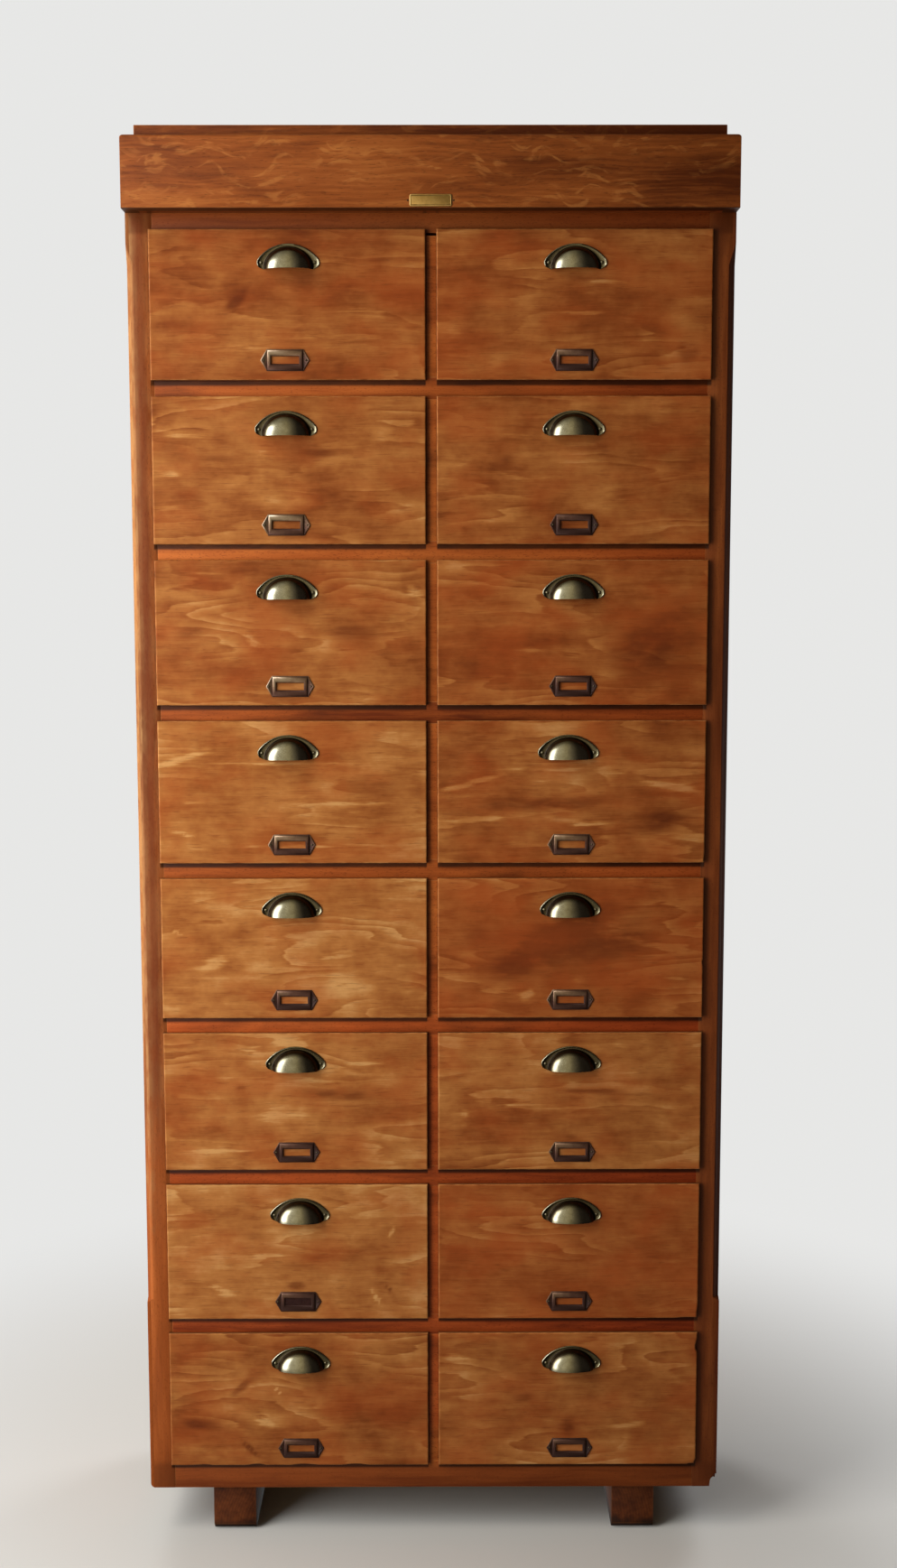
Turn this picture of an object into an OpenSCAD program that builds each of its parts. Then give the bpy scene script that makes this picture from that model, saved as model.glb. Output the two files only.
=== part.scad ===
/* [Layout] */
// Drawers in each of the two columns
rows = 8; // [2:1:8]
// Clear width of one drawer bay between post and divider
bay_w = 389.5; // [280:0.5:480]
// Clear height of one drawer bay between two rails
bay_h = 204; // [202:1:280]
// Height of the rails between the drawers
rail_h = 32; // [28:1:48]
// Height of the bottom rail
bottom_rail_h = 44; // [36:1:80]
// Height of the top rail under the cornice
top_rail_h = 28; // [20:1:60]
// Width of the short uprights between the two columns
divider_w = 25; // [20:1:40]
// Gap above the topmost of those uprights, which was cut short
divider_gap = 4; // [0:0.5:8]

/* [Carcass] */
// Depth from the face of the front frame to the back of the cabinet
carcass_d = 310; // [260:1:420]
// Front to back size of the posts, rails and dividers
frame_d = 30; // [24:1:40]
// Width of a corner post, without its side panel
post_w = 33; // [26:1:45]
// Thickness of the side panels, whose edge shows beside the post
side_t = 5; // [3:0.5:8]
// Thickness of the back panel
back_t = 6; // [3:0.5:9]
// Thickness of the bottom board
bottom_t = 12; // [9:1:18]
// Thickness of the board that closes the carcass inside the cornice
top_t = 16; // [9:1:20]
// Length of the stub tenons on the front rails
tenon_l = 12; // [6:1:18]
// Width of the chamfer along the outer edge of each front post
chamfer_w = 10; // [6:1:16]
// Height above the carcass bottom at which the chamfer stops
chamfer_start = 306; // [60:1:400]
// Distance below the carcass top at which the chamfer stops
chamfer_end = 74; // [40:1:200]
// Length over which the chamfer runs out at its top
chamfer_runout = 36; // [10:1:60]
// Rounding of the outer bottom corners of the carcass
corner_r = 7; // [2:1:12]

/* [Cornice] */
// How far the cornice stands out in front of the front frame
cornice_overhang = 34; // [24:1:50]
// Height of the cornice boards
cornice_h = 102; // [60:1:160]
// Thickness of the cornice boards
cornice_t = 22; // [18:1:24]
// Rounding along the top outer edge of the cornice
cornice_r = 5; // [1:0.5:10]
// Thickness of the cap board on top of the cornice
cap_t = 16.5; // [10:0.5:25]
// How far the cap board stays inside the cornice at the front and sides
cap_inset = 17.5; // [4:0.5:20]

/* [Skids] */
// Height of the two skids under the carcass
skid_h = 75; // [40:1:120]
// Width of a skid
skid_w = 66; // [40:1:90]
// Distance from the middle of the cabinet to the middle of a skid
skid_x = 311; // [150:1:340]
// Distance from the front frame back to the front of a skid
skid_setback = 10; // [0:1:60]
// Worn bevel along the lower front and back edge of a skid
skid_bevel = 9; // [2:1:20]

/* [Drawers] */
// How far a drawer front laps over the frame on each side
lap = 4.5; // [2:0.5:8]
// Thickness of the plywood face that stands in front of the frame
face_t = 7; // [5:0.5:12]
// Thickness of the drawer's own front board behind that face
box_front_t = 12; // [9:0.5:16]
// Bevel round the plywood face
face_bevel = 1.5; // [0.5:0.5:3]
// Play between a drawer and the bay on each side
side_play = 1.5; // [0.5:0.5:3]
// Thickness of the drawer's sides and back
box_t = 10; // [8:1:13]
// Height of the drawer's sides
box_h = 190; // [150:1:198]
// Space left between the drawer and the back panel
box_back_gap = 10; // [4:1:40]
// Thickness of the drawer's bottom
bottom_panel_t = 5; // [3:0.5:6]
// Height of the drawer's bottom above its runners
bottom_panel_z = 8; // [5:1:14]
// Dovetails at each corner of a drawer
tails = 4; // [2:1:6]
// Width of the ledge that a drawer side slides on
ledge_w = 14; // [12:1:24]
// Height of a runner
runner_h = 20; // [12:1:24]
// Height of the guide strip beside each drawer
guide_h = 14; // [8:1:30]

/* [Fittings] */
// Width of the mouth of a cup pull
cup_w = 70; // [56:1:74]
// Height of the cup above its mouth
cup_rise = 31.5; // [28:0.5:34]
// How far a cup pull stands out from the drawer front
cup_out = 17; // [14:0.5:22]
// Thickness of the pressed sheet of a cup pull
cup_t = 1.2; // [0.8:0.1:2]
// Width of a cup pull over its two ears
ears_w = 91; // [90:1:110]
// Rounding of the ears
ear_r = 9.5; // [8:0.5:11]
// Height of the flange above the top of the cup
flange_rise = 4.8; // [3:0.1:8]
// Distance from the top of a drawer front to the mouth of its pull
pull_drop = 57; // [50:1:90]
// Width of a label holder over its points
holder_w = 71; // [66:1:90]
// Height of a label holder
holder_h = 31; // [26:1:40]
// Length of each pointed end of a label holder
holder_point = 9; // [5:1:12]
// How far the card frame stands out from the drawer front
holder_out = 3; // [2:0.5:5]
// Width of the window in a label holder
window_w = 41; // [30:1:42]
// Height of the window in a label holder
window_h = 11; // [8:1:18]
// Distance from the bottom of a drawer front to the middle of its label holder
holder_rise = 28; // [20:1:60]

/* [Hidden] */
$fn = 64;
SIDES = ["left", "right"];
CARCASS_NODES = [
    "corner_posts", "side_panels", "back_panel", "centre_partition", "front_rails", "front_dividers",
    "drawer_runners", "bottom_board", "top_board", "cornice", "cap_board", "skids"
];
DRAWER_NODES = [
    for (row = [1 : rows]) for (side = SIDES) for (piece = ["front", "box", "fittings"])
        drawer_node(row, side, piece)
];

// How far each pull was screwed on off its drawer's middle line, left and right, from the top row down
pull_shifts = [[2, 1], [-4, 0], [-5, 1], [-6, -5], [-3, -1], [0, 2], [4, 4], [3, 5]];
// The same for each label holder
holder_shifts = [[-4, 0], [-5, 1], [-2, 1], [-2, 0], [-1, 0], [0, 4], [0, 1], [2, 3]];

// Small distance by which a cutter passes the face that it opens
past = 1;
// Glue line or play between two boards of one group, which keeps each board its own solid
seam = 0.1;

// Width of the cabinet, and x of the bays' outer edge and middle
bay_edge_x = divider_w / 2 + bay_w;
bay_mid_x = (divider_w + bay_w) / 2;
post_outer_x = bay_edge_x + post_w;
side_x = post_outer_x + side_t;

// Front to back: the face of the front frame, its rear side and the back of the cabinet
face_y = (cornice_overhang - carcass_d) / 2;
frame_back_y = face_y + frame_d;
cornice_face_y = face_y - cornice_overhang;
back_y = face_y + carcass_d;
back_panel_y = back_y - back_t;
rear_post_y = back_panel_y - frame_d;

// Heights: underside of the carcass, step from bay to bay and top of the carcass
base_z = skid_h;
pitch = bay_h + rail_h;
first_floor_z = base_z + bottom_rail_h;
carcass_top_z = first_floor_z + rows * pitch - rail_h + top_rail_h;
cornice_top_z = carcass_top_z + cornice_h;

// Drawer box: outer width, back face, length and the zone that its dovetails share
box_w = bay_w - 2 * side_play;
box_back_y = back_panel_y - box_back_gap;
outer_y = face_y - face_t;
inside_y = face_y + box_front_t;
groove = box_t / 2;
joint_z = bottom_panel_z + bottom_panel_t;
tail_pitch = (box_h - joint_z) / tails;
tail_root = tail_pitch * 0.56;
tail_end = tail_pitch * 0.72;
front_play = 1;

// Cup pull: a ball of sheet metal whose middle lies behind the drawer front and below the mouth.
// Where it cuts the drawer front it leaves a circle of foot_r, sunk by ball_drop
cup_half = cup_w / 2;
foot_r = (cup_half * cup_half / cup_rise + cup_rise) / 2;
ball_drop = foot_r - cup_rise;
ball_back = (cup_half * cup_half - cup_out * cup_out) / (2 * cup_out);
ball_r = sqrt(foot_r * foot_r + ball_back * ball_back);
flange_top = cup_rise + flange_rise;
ear_x = ears_w / 2 - ear_r;
ear_z = ear_r;
// The flange's upper arc runs through its top and touches both ears from outside
arc_r = (ear_x * ear_x + (flange_top - ear_z) * (flange_top - ear_z) - ear_r * ear_r)
    / (2 * (flange_top - ear_z - ear_r));
arc_z = flange_top - arc_r;

// Label holder: its sheet, its raised frame and the slot for the card
sheet_t = 0.8;
frame_w = window_w + 11;
slot_w = window_w + 4;
slot_t = 1;
slot_foot = 3;

function drawer_node(row, side, piece) = str("drawer_", row, "_", side, "_", piece);
function bay_floor_z(bay) = first_floor_z + bay * pitch;
function rail_bottom_z(level) = level == 0 ? base_z : bay_floor_z(level) - rail_h;
function rail_top_z(level) = level == rows ? carcass_top_z : bay_floor_z(level);
function tail_z(i) = joint_z + tail_pitch * (i + 0.5);

// A block between two opposite corners
module block(low, high) {
    translate(low) cube(high - low);
}

// The same shape on the right and, mirrored, on the left
module both_sides() {
    children();
    mirror([1, 0, 0]) children();
}

// An outline in width and height, as thick as given and set back from y
module upright(y, thickness) {
    translate([0, y + thickness, 0]) rotate([90, 0, 0]) linear_extrude(thickness) children();
}

// An outline in depth and height, extruded along the width from x
module sideways(x, width) {
    translate([x, 0, 0]) rotate([90, 0, 90]) linear_extrude(width) children();
}

// The stub tenon at the right end of a front rail
module rail_tenon(level) {
    shoulder = 4;
    block([bay_edge_x, face_y + frame_d * 0.3, rail_bottom_z(level) + shoulder],
          [bay_edge_x + tenon_l, face_y + frame_d * 0.7, rail_top_z(level) - shoulder]);
}

// What the stop chamfer takes off the right front edge, running out gently at its top
module stop_chamfer() {
    edge = (side_x - face_y) / sqrt(2);
    depth = chamfer_w / sqrt(2);
    low = base_z + chamfer_start;
    high = carcass_top_z - chamfer_end;
    rotate([0, 0, -45]) rotate([90, 0, 0]) linear_extrude(2 * side_x, center = true) polygon([
        [edge - depth, low],
        [edge + past, low - depth],
        [edge + past, high + chamfer_runout],
        [edge - depth, high]
    ]);
}

// What the rounding takes off the right bottom corner of the carcass
module corner_rounding() {
    difference() {
        block([side_x - corner_r, face_y - past, base_z - past],
              [side_x + past, back_y + past, base_z + corner_r]);
        translate([side_x - corner_r, face_y - 2 * past, base_z + corner_r])
            rotate([-90, 0, 0]) cylinder(h = carcass_d + 4 * past, r = corner_r);
    }
}

module front_post() {
    difference() {
        block([bay_edge_x, face_y, base_z], [post_outer_x, frame_back_y, carcass_top_z]);
        for (level = [0 : rows]) rail_tenon(level);
        stop_chamfer();
        corner_rounding();
    }
}

module rear_post() {
    difference() {
        block([bay_edge_x, rear_post_y, base_z], [post_outer_x, back_panel_y, carcass_top_z]);
        corner_rounding();
    }
}

module corner_posts() {
    color("sienna") both_sides() {
        front_post();
        rear_post();
    }
}

module side_panels() {
    color("chocolate") both_sides() difference() {
        block([post_outer_x, face_y, base_z], [side_x, back_y, carcass_top_z]);
        stop_chamfer();
        corner_rounding();
    }
}

module back_panel() {
    color("burlywood")
        block([-post_outer_x, back_panel_y, base_z], [post_outer_x, back_y, carcass_top_z]);
}

// The full-height board behind the dividers, whose faces guide the inner drawer sides
module centre_partition() {
    color("peru")
        block([-divider_w / 2, frame_back_y, base_z + bottom_t],
              [divider_w / 2, back_panel_y, carcass_top_z]);
}

module front_rails() {
    color("sienna") for (level = [0 : rows]) {
        block([-bay_edge_x, face_y, rail_bottom_z(level)], [bay_edge_x, frame_back_y, rail_top_z(level)]);
        both_sides() rail_tenon(level);
    }
}

module front_dividers() {
    color("sienna") for (bay = [0 : rows - 1])
        block([-divider_w / 2, face_y, bay_floor_z(bay)],
              [divider_w / 2, frame_back_y, bay_floor_z(bay) + bay_h - (bay == rows - 1 ? divider_gap : 0)]);
}

// Each bay has a runner and a guide strip between the posts and a runner on the partition
module drawer_runners() {
    color("peru") for (bay = [0 : rows - 1]) both_sides() {
        top = bay_floor_z(bay);
        block([bay_edge_x - ledge_w, frame_back_y, top - runner_h], [post_outer_x, rear_post_y, top]);
        block([bay_edge_x, frame_back_y, top + seam], [post_outer_x, rear_post_y, top + guide_h]);
        block([divider_w / 2, frame_back_y, top - runner_h], [divider_w / 2 + ledge_w, back_panel_y, top]);
    }
}

// The bottom board fits round the rear posts and butts against the bottom rail
module bottom_board() {
    color("burlywood") translate([0, 0, base_z]) linear_extrude(bottom_t) polygon([
        [-post_outer_x, frame_back_y],
        [post_outer_x, frame_back_y],
        [post_outer_x, rear_post_y],
        [bay_edge_x, rear_post_y],
        [bay_edge_x, back_panel_y],
        [-bay_edge_x, back_panel_y],
        [-bay_edge_x, rear_post_y],
        [-post_outer_x, rear_post_y]
    ]);
}

module top_board() {
    color("burlywood")
        block([cornice_t - side_x, cornice_face_y + cornice_t, carcass_top_z],
              [side_x - cornice_t, back_y, carcass_top_z + top_t]);
}

// Section of a cornice board: its outer face at 0 and its top outer edge rounded
module cornice_section() {
    translate([cornice_r, cornice_h - cornice_r]) intersection() {
        circle(cornice_r);
        translate([-cornice_r, 0]) square(cornice_r);
    }
    square([cornice_t, cornice_h - cornice_r]);
    translate([cornice_r, 0]) square([cornice_t - cornice_r, cornice_h]);
}

// The front board, mitred at both ends
module cornice_front() {
    intersection() {
        translate([0, cornice_face_y, carcass_top_z]) sideways(-side_x, 2 * side_x) cornice_section();
        translate([0, 0, carcass_top_z]) linear_extrude(cornice_h) polygon([
            [-side_x, cornice_face_y],
            [side_x, cornice_face_y],
            [side_x - cornice_t, cornice_face_y + cornice_t],
            [cornice_t - side_x, cornice_face_y + cornice_t]
        ]);
    }
}

// The return along the right side, mitred at its front end
module cornice_return() {
    intersection() {
        translate([side_x, 0, carcass_top_z]) mirror([1, 0, 0])
            upright(cornice_face_y, back_y - cornice_face_y) cornice_section();
        translate([0, seam, carcass_top_z]) linear_extrude(cornice_h) polygon([
            [side_x, cornice_face_y],
            [side_x, back_y],
            [side_x - cornice_t, back_y],
            [side_x - cornice_t, cornice_face_y + cornice_t]
        ]);
    }
}

// The plain board that closes the cornice at the back, between the returns
module cornice_back() {
    half_w = side_x - cornice_t - seam;
    block([-half_w, back_y - cornice_t, carcass_top_z + top_t], [half_w, back_y, cornice_top_z]);
}

module cornice() {
    color("saddlebrown") {
        cornice_front();
        both_sides() cornice_return();
        cornice_back();
    }
}

module cap_board() {
    color("saddlebrown")
        block([cap_inset - side_x, cornice_face_y + cap_inset, cornice_top_z],
              [side_x - cap_inset, back_y, cornice_top_z + cap_t]);
}

module skids() {
    front = face_y + skid_setback;
    color("saddlebrown") both_sides() sideways(skid_x - skid_w / 2, skid_w) polygon([
        [front, skid_h],
        [front, skid_bevel],
        [front + skid_bevel, 0],
        [back_y - skid_bevel, 0],
        [back_y, skid_bevel],
        [back_y, skid_h]
    ]);
}

// Outline of the dovetails on one end of a drawer side: they widen from 0 to the given length
module tail_outline(length, ease) {
    root = tail_root / 2 + ease;
    end = tail_end / 2 + ease;
    for (i = [0 : tails - 1]) polygon([
        [-past, tail_z(i) - root],
        [0, tail_z(i) - root],
        [length, tail_z(i) - end],
        [length, tail_z(i) + end],
        [0, tail_z(i) + root],
        [-past, tail_z(i) + root]
    ]);
}

module front_tails(ease) {
    translate([inside_y, 0]) mirror([1, 0]) tail_outline(box_front_t, ease);
}

module back_tails(ease) {
    translate([box_back_y - box_t, 0]) tail_outline(box_t, ease);
}

// The room of the drawer's bottom: grooved into the sides and the front, and open under the back
module bottom_room(rear, ease) {
    half_w = box_w / 2 - groove + ease;
    block([-half_w, inside_y - groove - ease, bottom_panel_z - ease], [half_w, rear, joint_z + ease]);
}

// The plywood face of a drawer, bevelled all round
module drawer_front() {
    half_w = bay_w / 2 + lap;
    flat_w = half_w - face_bevel;
    bevel_y = outer_y + face_bevel;
    color("peru") intersection() {
        translate([0, 0, -lap]) linear_extrude(bay_h + 2 * lap) polygon([
            [-flat_w, outer_y],
            [flat_w, outer_y],
            [half_w, bevel_y],
            [half_w, face_y],
            [-half_w, face_y],
            [-half_w, bevel_y]
        ]);
        sideways(-half_w, 2 * half_w) polygon([
            [outer_y, face_bevel - lap],
            [outer_y, bay_h + lap - face_bevel],
            [bevel_y, bay_h + lap],
            [face_y, bay_h + lap],
            [face_y, -lap],
            [bevel_y, -lap]
        ]);
    }
}

// A drawer side: a plain board with tails at both ends and a groove for the bottom
module box_side() {
    length = box_back_y - box_t - inside_y - 2 * seam;
    difference() {
        sideways(box_w / 2 - box_t, box_t) {
            translate([inside_y + seam, 0]) square([length, box_h]);
            front_tails(0);
            back_tails(0);
        }
        bottom_room(box_back_y + past, seam);
    }
}

// The board behind the plywood face, with sockets for the tails of both sides
module box_front() {
    difference() {
        block([-box_w / 2, face_y, front_play], [box_w / 2, inside_y, box_h]);
        both_sides() sideways(box_w / 2 - box_t - seam, box_t + past) front_tails(seam);
        bottom_room(inside_y + past, seam);
    }
}

module box_back() {
    difference() {
        block([-box_w / 2, box_back_y - box_t, joint_z + seam], [box_w / 2, box_back_y, box_h]);
        both_sides() sideways(box_w / 2 - box_t - seam, box_t + past) back_tails(seam);
    }
}

module drawer_box() {
    color("burlywood") {
        both_sides() box_side();
        box_front();
        box_back();
        bottom_room(box_back_y, 0);
    }
}

// Outline of the flange of a cup pull, with its mouth at height 0
module flange_outline() {
    reach = arc_r + past;
    slope = (ear_z - arc_z) / ear_x;
    intersection() {
        translate([0, arc_z]) circle(arc_r);
        union() {
            translate([-ear_x, 0]) square([2 * ear_x, flange_top]);
            for (s = [-1, 1]) polygon([
                [s * ear_x, ear_z],
                [s * reach, ear_z + slope * (reach - ear_x)],
                [s * reach, arc_r],
                [s * ear_x, arc_r]
            ]);
        }
    }
    for (s = [-1, 1]) translate([s * ear_x, ear_z]) circle(ear_r);
}

// A cup pull pressed from sheet: a quarter ball open below, with a flange and two ears
module cup_pull() {
    inner_r = ball_r - cup_t;
    hollow_r = sqrt(inner_r * inner_r - ball_back * ball_back);
    reach = ball_r + past;
    upright(-cup_t, cup_t) difference() {
        flange_outline();
        translate([0, -ball_drop]) circle(hollow_r);
    }
    intersection() {
        translate([0, ball_back, -ball_drop]) difference() {
            sphere(ball_r);
            sphere(inner_r);
        }
        block([-reach, -reach, 0], [reach, 0, reach]);
    }
}

// A label holder: a pointed sheet with a raised frame, a window and a slot open at the top
module label_holder() {
    corner_x = holder_w / 2 - holder_point;
    upright(-sheet_t, sheet_t) difference() {
        polygon([
            [-holder_w / 2, 0],
            [-corner_x, holder_h / 2],
            [corner_x, holder_h / 2],
            [holder_w / 2, 0],
            [corner_x, -holder_h / 2],
            [-corner_x, -holder_h / 2]
        ]);
        square([window_w, window_h], center = true);
    }
    difference() {
        upright(-holder_out, holder_out - sheet_t) difference() {
            square([frame_w, holder_h], center = true);
            square([window_w, window_h], center = true);
        }
        block([-slot_w / 2, -sheet_t - slot_t, slot_foot - holder_h / 2], [slot_w / 2, -sheet_t, holder_h]);
    }
}

module drawer_fittings(row, column) {
    color("darkkhaki") {
        translate([pull_shifts[row - 1][column], outer_y, bay_h + lap - pull_drop]) cup_pull();
        translate([holder_shifts[row - 1][column], outer_y, holder_rise - lap]) label_holder();
    }
}

// Puts a drawer's piece in its bay: row 1 is at the top, column 0 on the left
module in_bay(row, column) {
    translate([(2 * column - 1) * bay_mid_x, 0, bay_floor_z(rows - row)]) children();
}

corner_posts();
side_panels();
back_panel();
centre_partition();
front_rails();
front_dividers();
drawer_runners();
bottom_board();
top_board();
cornice();
cap_board();
skids();
for (row = [1 : rows]) for (column = [0, 1]) {
    side = SIDES[column];
    in_bay(row, column) drawer_front();
    in_bay(row, column) drawer_box();
    in_bay(row, column) drawer_fittings(row, column);
}
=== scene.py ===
import math
import random

import bmesh
import bpy
from mathutils import Matrix, Vector, noise


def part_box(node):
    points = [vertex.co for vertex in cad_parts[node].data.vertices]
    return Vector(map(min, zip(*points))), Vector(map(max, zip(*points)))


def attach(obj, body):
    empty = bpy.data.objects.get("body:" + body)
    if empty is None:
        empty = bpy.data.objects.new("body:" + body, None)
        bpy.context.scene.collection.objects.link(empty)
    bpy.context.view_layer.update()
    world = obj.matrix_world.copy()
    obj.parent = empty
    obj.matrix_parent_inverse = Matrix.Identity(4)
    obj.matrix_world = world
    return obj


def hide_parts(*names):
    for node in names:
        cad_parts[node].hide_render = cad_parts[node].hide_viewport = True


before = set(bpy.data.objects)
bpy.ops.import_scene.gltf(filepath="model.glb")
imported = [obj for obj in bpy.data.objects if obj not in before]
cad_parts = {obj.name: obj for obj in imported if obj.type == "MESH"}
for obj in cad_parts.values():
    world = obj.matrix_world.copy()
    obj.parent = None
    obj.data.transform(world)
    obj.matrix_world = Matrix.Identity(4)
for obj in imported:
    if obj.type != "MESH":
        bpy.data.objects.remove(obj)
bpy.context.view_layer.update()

MM = 0.001
ROWS = 8
# Height of the lowest drawer faces' lower edge, and the step from row to row
FACE_FOOT = 0.1145
ROW_PITCH = 0.236
CORNICE_FOOT = 2.003
FACE_THICK = 7 * MM
SIDES = ("left", "right")
CARCASS = "carcass"
BRASS = "antique_brass"


# Node trees


class Wire:
    """An output socket. Arithmetic on wires adds the Math nodes that it needs."""

    def __init__(self, tree, socket):
        self.tree = tree
        self.socket = socket

    def maths(self, operation, *values, clamp=False):
        sockets = dict(enumerate(values))
        return self.tree.node("ShaderNodeMath", sockets, operation=operation, use_clamp=clamp)

    def __add__(self, other):
        return self.maths("ADD", self, other)

    def __radd__(self, other):
        return self.maths("ADD", other, self)

    def __sub__(self, other):
        return self.maths("SUBTRACT", self, other)

    def __rsub__(self, other):
        return self.maths("SUBTRACT", other, self)

    def __mul__(self, other):
        return self.maths("MULTIPLY", self, other)

    def __rmul__(self, other):
        return self.maths("MULTIPLY", other, self)

    def __abs__(self):
        return self.maths("ABSOLUTE", self)

    def clamped(self):
        return self.maths("ADD", self, 0.0, clamp=True)

    def fraction(self):
        return self.maths("FRACT", self)

    def swing(self, amount):
        """A noise about a half as a swing about nothing."""
        return (self - 0.5) * amount


class Tree:
    """A node tree that is filled node by node."""

    def __init__(self, tree):
        self.tree = tree

    @staticmethod
    def find(sockets, key):
        if isinstance(key, int):
            return sockets[key]
        for socket in sockets:
            if socket.identifier == key:
                return socket
        return next(socket for socket in sockets if socket.name == key and socket.enabled)

    def node(self, kind, sockets=None, output=0, **settings):
        """One output of a new node, with its settings and the values or wires of its sockets."""
        made = self.tree.nodes.new(kind)
        for name, value in settings.items():
            if name == "stops":
                self.fill_ramp(made.color_ramp, value)
            else:
                setattr(made, name, value)
        for key, value in (sockets or {}).items():
            socket = self.find(made.inputs, key)
            if isinstance(value, Wire):
                self.tree.links.new(value.socket, socket)
            else:
                socket.default_value = value
        if made.outputs:
            return Wire(self, self.find(made.outputs, output))
        return made

    def xyz(self, x=0.0, y=0.0, z=0.0):
        return self.node("ShaderNodeCombineXYZ", {0: x, 1: y, 2: z})

    @staticmethod
    def fill_ramp(ramp, stops):
        while len(ramp.elements) < len(stops):
            ramp.elements.new(0.5)
        for element, (position, colour) in zip(ramp.elements, stops):
            element.position = position
            element.color = colour


def stain(red, green, blue):
    """A colour as it looks on a screen, 0 to 255, as the linear colour that a socket takes."""
    levels = []
    for value in (red, green, blue):
        v = value / 255
        levels.append(v / 12.92 if v <= 0.04045 else ((v + 0.055) / 1.055) ** 2.4)
    return (*levels, 1.0)


class Finish(Tree):
    """A procedural material."""

    def __init__(self, name):
        self.material = bpy.data.materials.new(name)
        self.material.use_nodes = True
        super().__init__(self.material.node_tree)
        self.tree.nodes.clear()

    @classmethod
    def over(cls, world):
        made = cls.__new__(cls)
        Tree.__init__(made, world.node_tree)
        return made

    def place(self):
        return self.node("ShaderNodeTexCoord", output="Object")

    def attribute(self, name, output="Fac"):
        return self.node("ShaderNodeAttribute", output=output, attribute_name=name)

    def carried(self, *names):
        """The values that a piece carries on its points or faces."""
        return [self.attribute(name) for name in names]

    def stretch(self, place, scale, turn=(0, 0, 0), shift=(0, 0, 0)):
        sockets = {"Vector": place, "Scale": scale, "Rotation": turn, "Location": shift}
        return self.node("ShaderNodeMapping", sockets)

    def moved(self, place, by):
        return self.node("ShaderNodeVectorMath", {0: place, 1: by}, operation="ADD")

    def times(self, vector, scale):
        return self.node("ShaderNodeVectorMath", {0: vector, "Scale": scale}, operation="SCALE")

    def cloud(self, place, detail=2.0, roughness=0.5, distortion=0.0, output=0):
        sockets = {"Vector": place, "Scale": 1.0, "Detail": detail, "Roughness": roughness,
                   "Distortion": distortion}
        return self.node("ShaderNodeTexNoise", sockets, output)

    def figure(self, place, scale, detail, roughness=0.5, shift=(0, 0, 0)):
        """Noise drawn out along the grain. scale says how fine it is along each axis."""
        return self.cloud(self.stretch(place, scale, shift=shift), detail, roughness)

    def part(self, vector, axis):
        return self.node("ShaderNodeSeparateXYZ", {0: vector}, axis)

    def axes(self, vector):
        return [self.part(vector, axis) for axis in range(3)]

    def warped(self, place, size, amount):
        """The place pushed about by a soft noise, so that a pattern on it wanders."""
        push = self.cloud(self.times(place, 1 / size), 1.0, output=1)
        centred = self.moved(push, (-0.5, -0.5, -0.5))
        return self.moved(place, self.times(centred, amount))

    def band(self, value, low, high):
        """0 below low, 1 above high, smooth between."""
        sockets = {"Value": value, "From Min": low, "From Max": high}
        return self.node("ShaderNodeMapRange", sockets, interpolation_type="SMOOTHSTEP")

    def within(self, value, low, high, end, out):
        """1 from high to end, 0 below low and above out."""
        return self.band(value, low, high) * (1 - self.band(value, end, out))

    def ramp(self, value, *stops):
        return self.node("ShaderNodeValToRGB", {"Fac": value}, stops=stops)

    def toned(self, value, *stops):
        """A ramp of stains. Each stop is a position and the stain's red, green and blue."""
        return self.ramp(value, *((position, stain(*tone)) for position, *tone in stops))

    def mixed(self, first, second, share, how="MIX"):
        sockets = {"Factor_Float": share, "A_Color": first, "B_Color": second}
        return self.node("ShaderNodeMix", sockets, "Result_Color", data_type="RGBA", blend_type=how)

    def stained(self, colour, *coats):
        """A colour under coats of stain. Each coat is its red, green, blue and share."""
        for *tone, share in coats:
            colour = self.mixed(colour, stain(*tone), share)
        return colour

    def rays(self, behind):
        """How far a ray makes a mirror image, and how far it meets the pale background: the camera
        sees that all round, metal and glass only behind the cabinet."""
        kinds = ("Is Camera Ray", "Is Glossy Ray", "Is Transmission Ray")
        camera, glossy, through = (self.node("ShaderNodeLightPath", output=kind) for kind in kinds)
        mirrored = glossy + through
        return mirrored.clamped(), (camera + mirrored * behind).clamped()

    def bump(self, height, distance, strength=1.0):
        sockets = {"Height": height, "Distance": distance, "Strength": strength}
        return self.node("ShaderNodeBump", sockets)

    def done(self, **surface):
        named = {name.replace("_", " "): value for name, value in surface.items()}
        shader = self.node("ShaderNodeBsdfPrincipled", named)
        self.node("ShaderNodeOutputMaterial", {"Surface": shader})
        return self.material

    def varnished(self, colour, rough, height, depth, strength=0.5):
        """Wood under old varnish, with its grain standing up by a depth."""
        grain = self.bump(height, depth, strength)
        return self.done(Base_Color=colour, Roughness=rough, Normal=grain, Specular_IOR_Level=0.25)


# Materials


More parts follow.
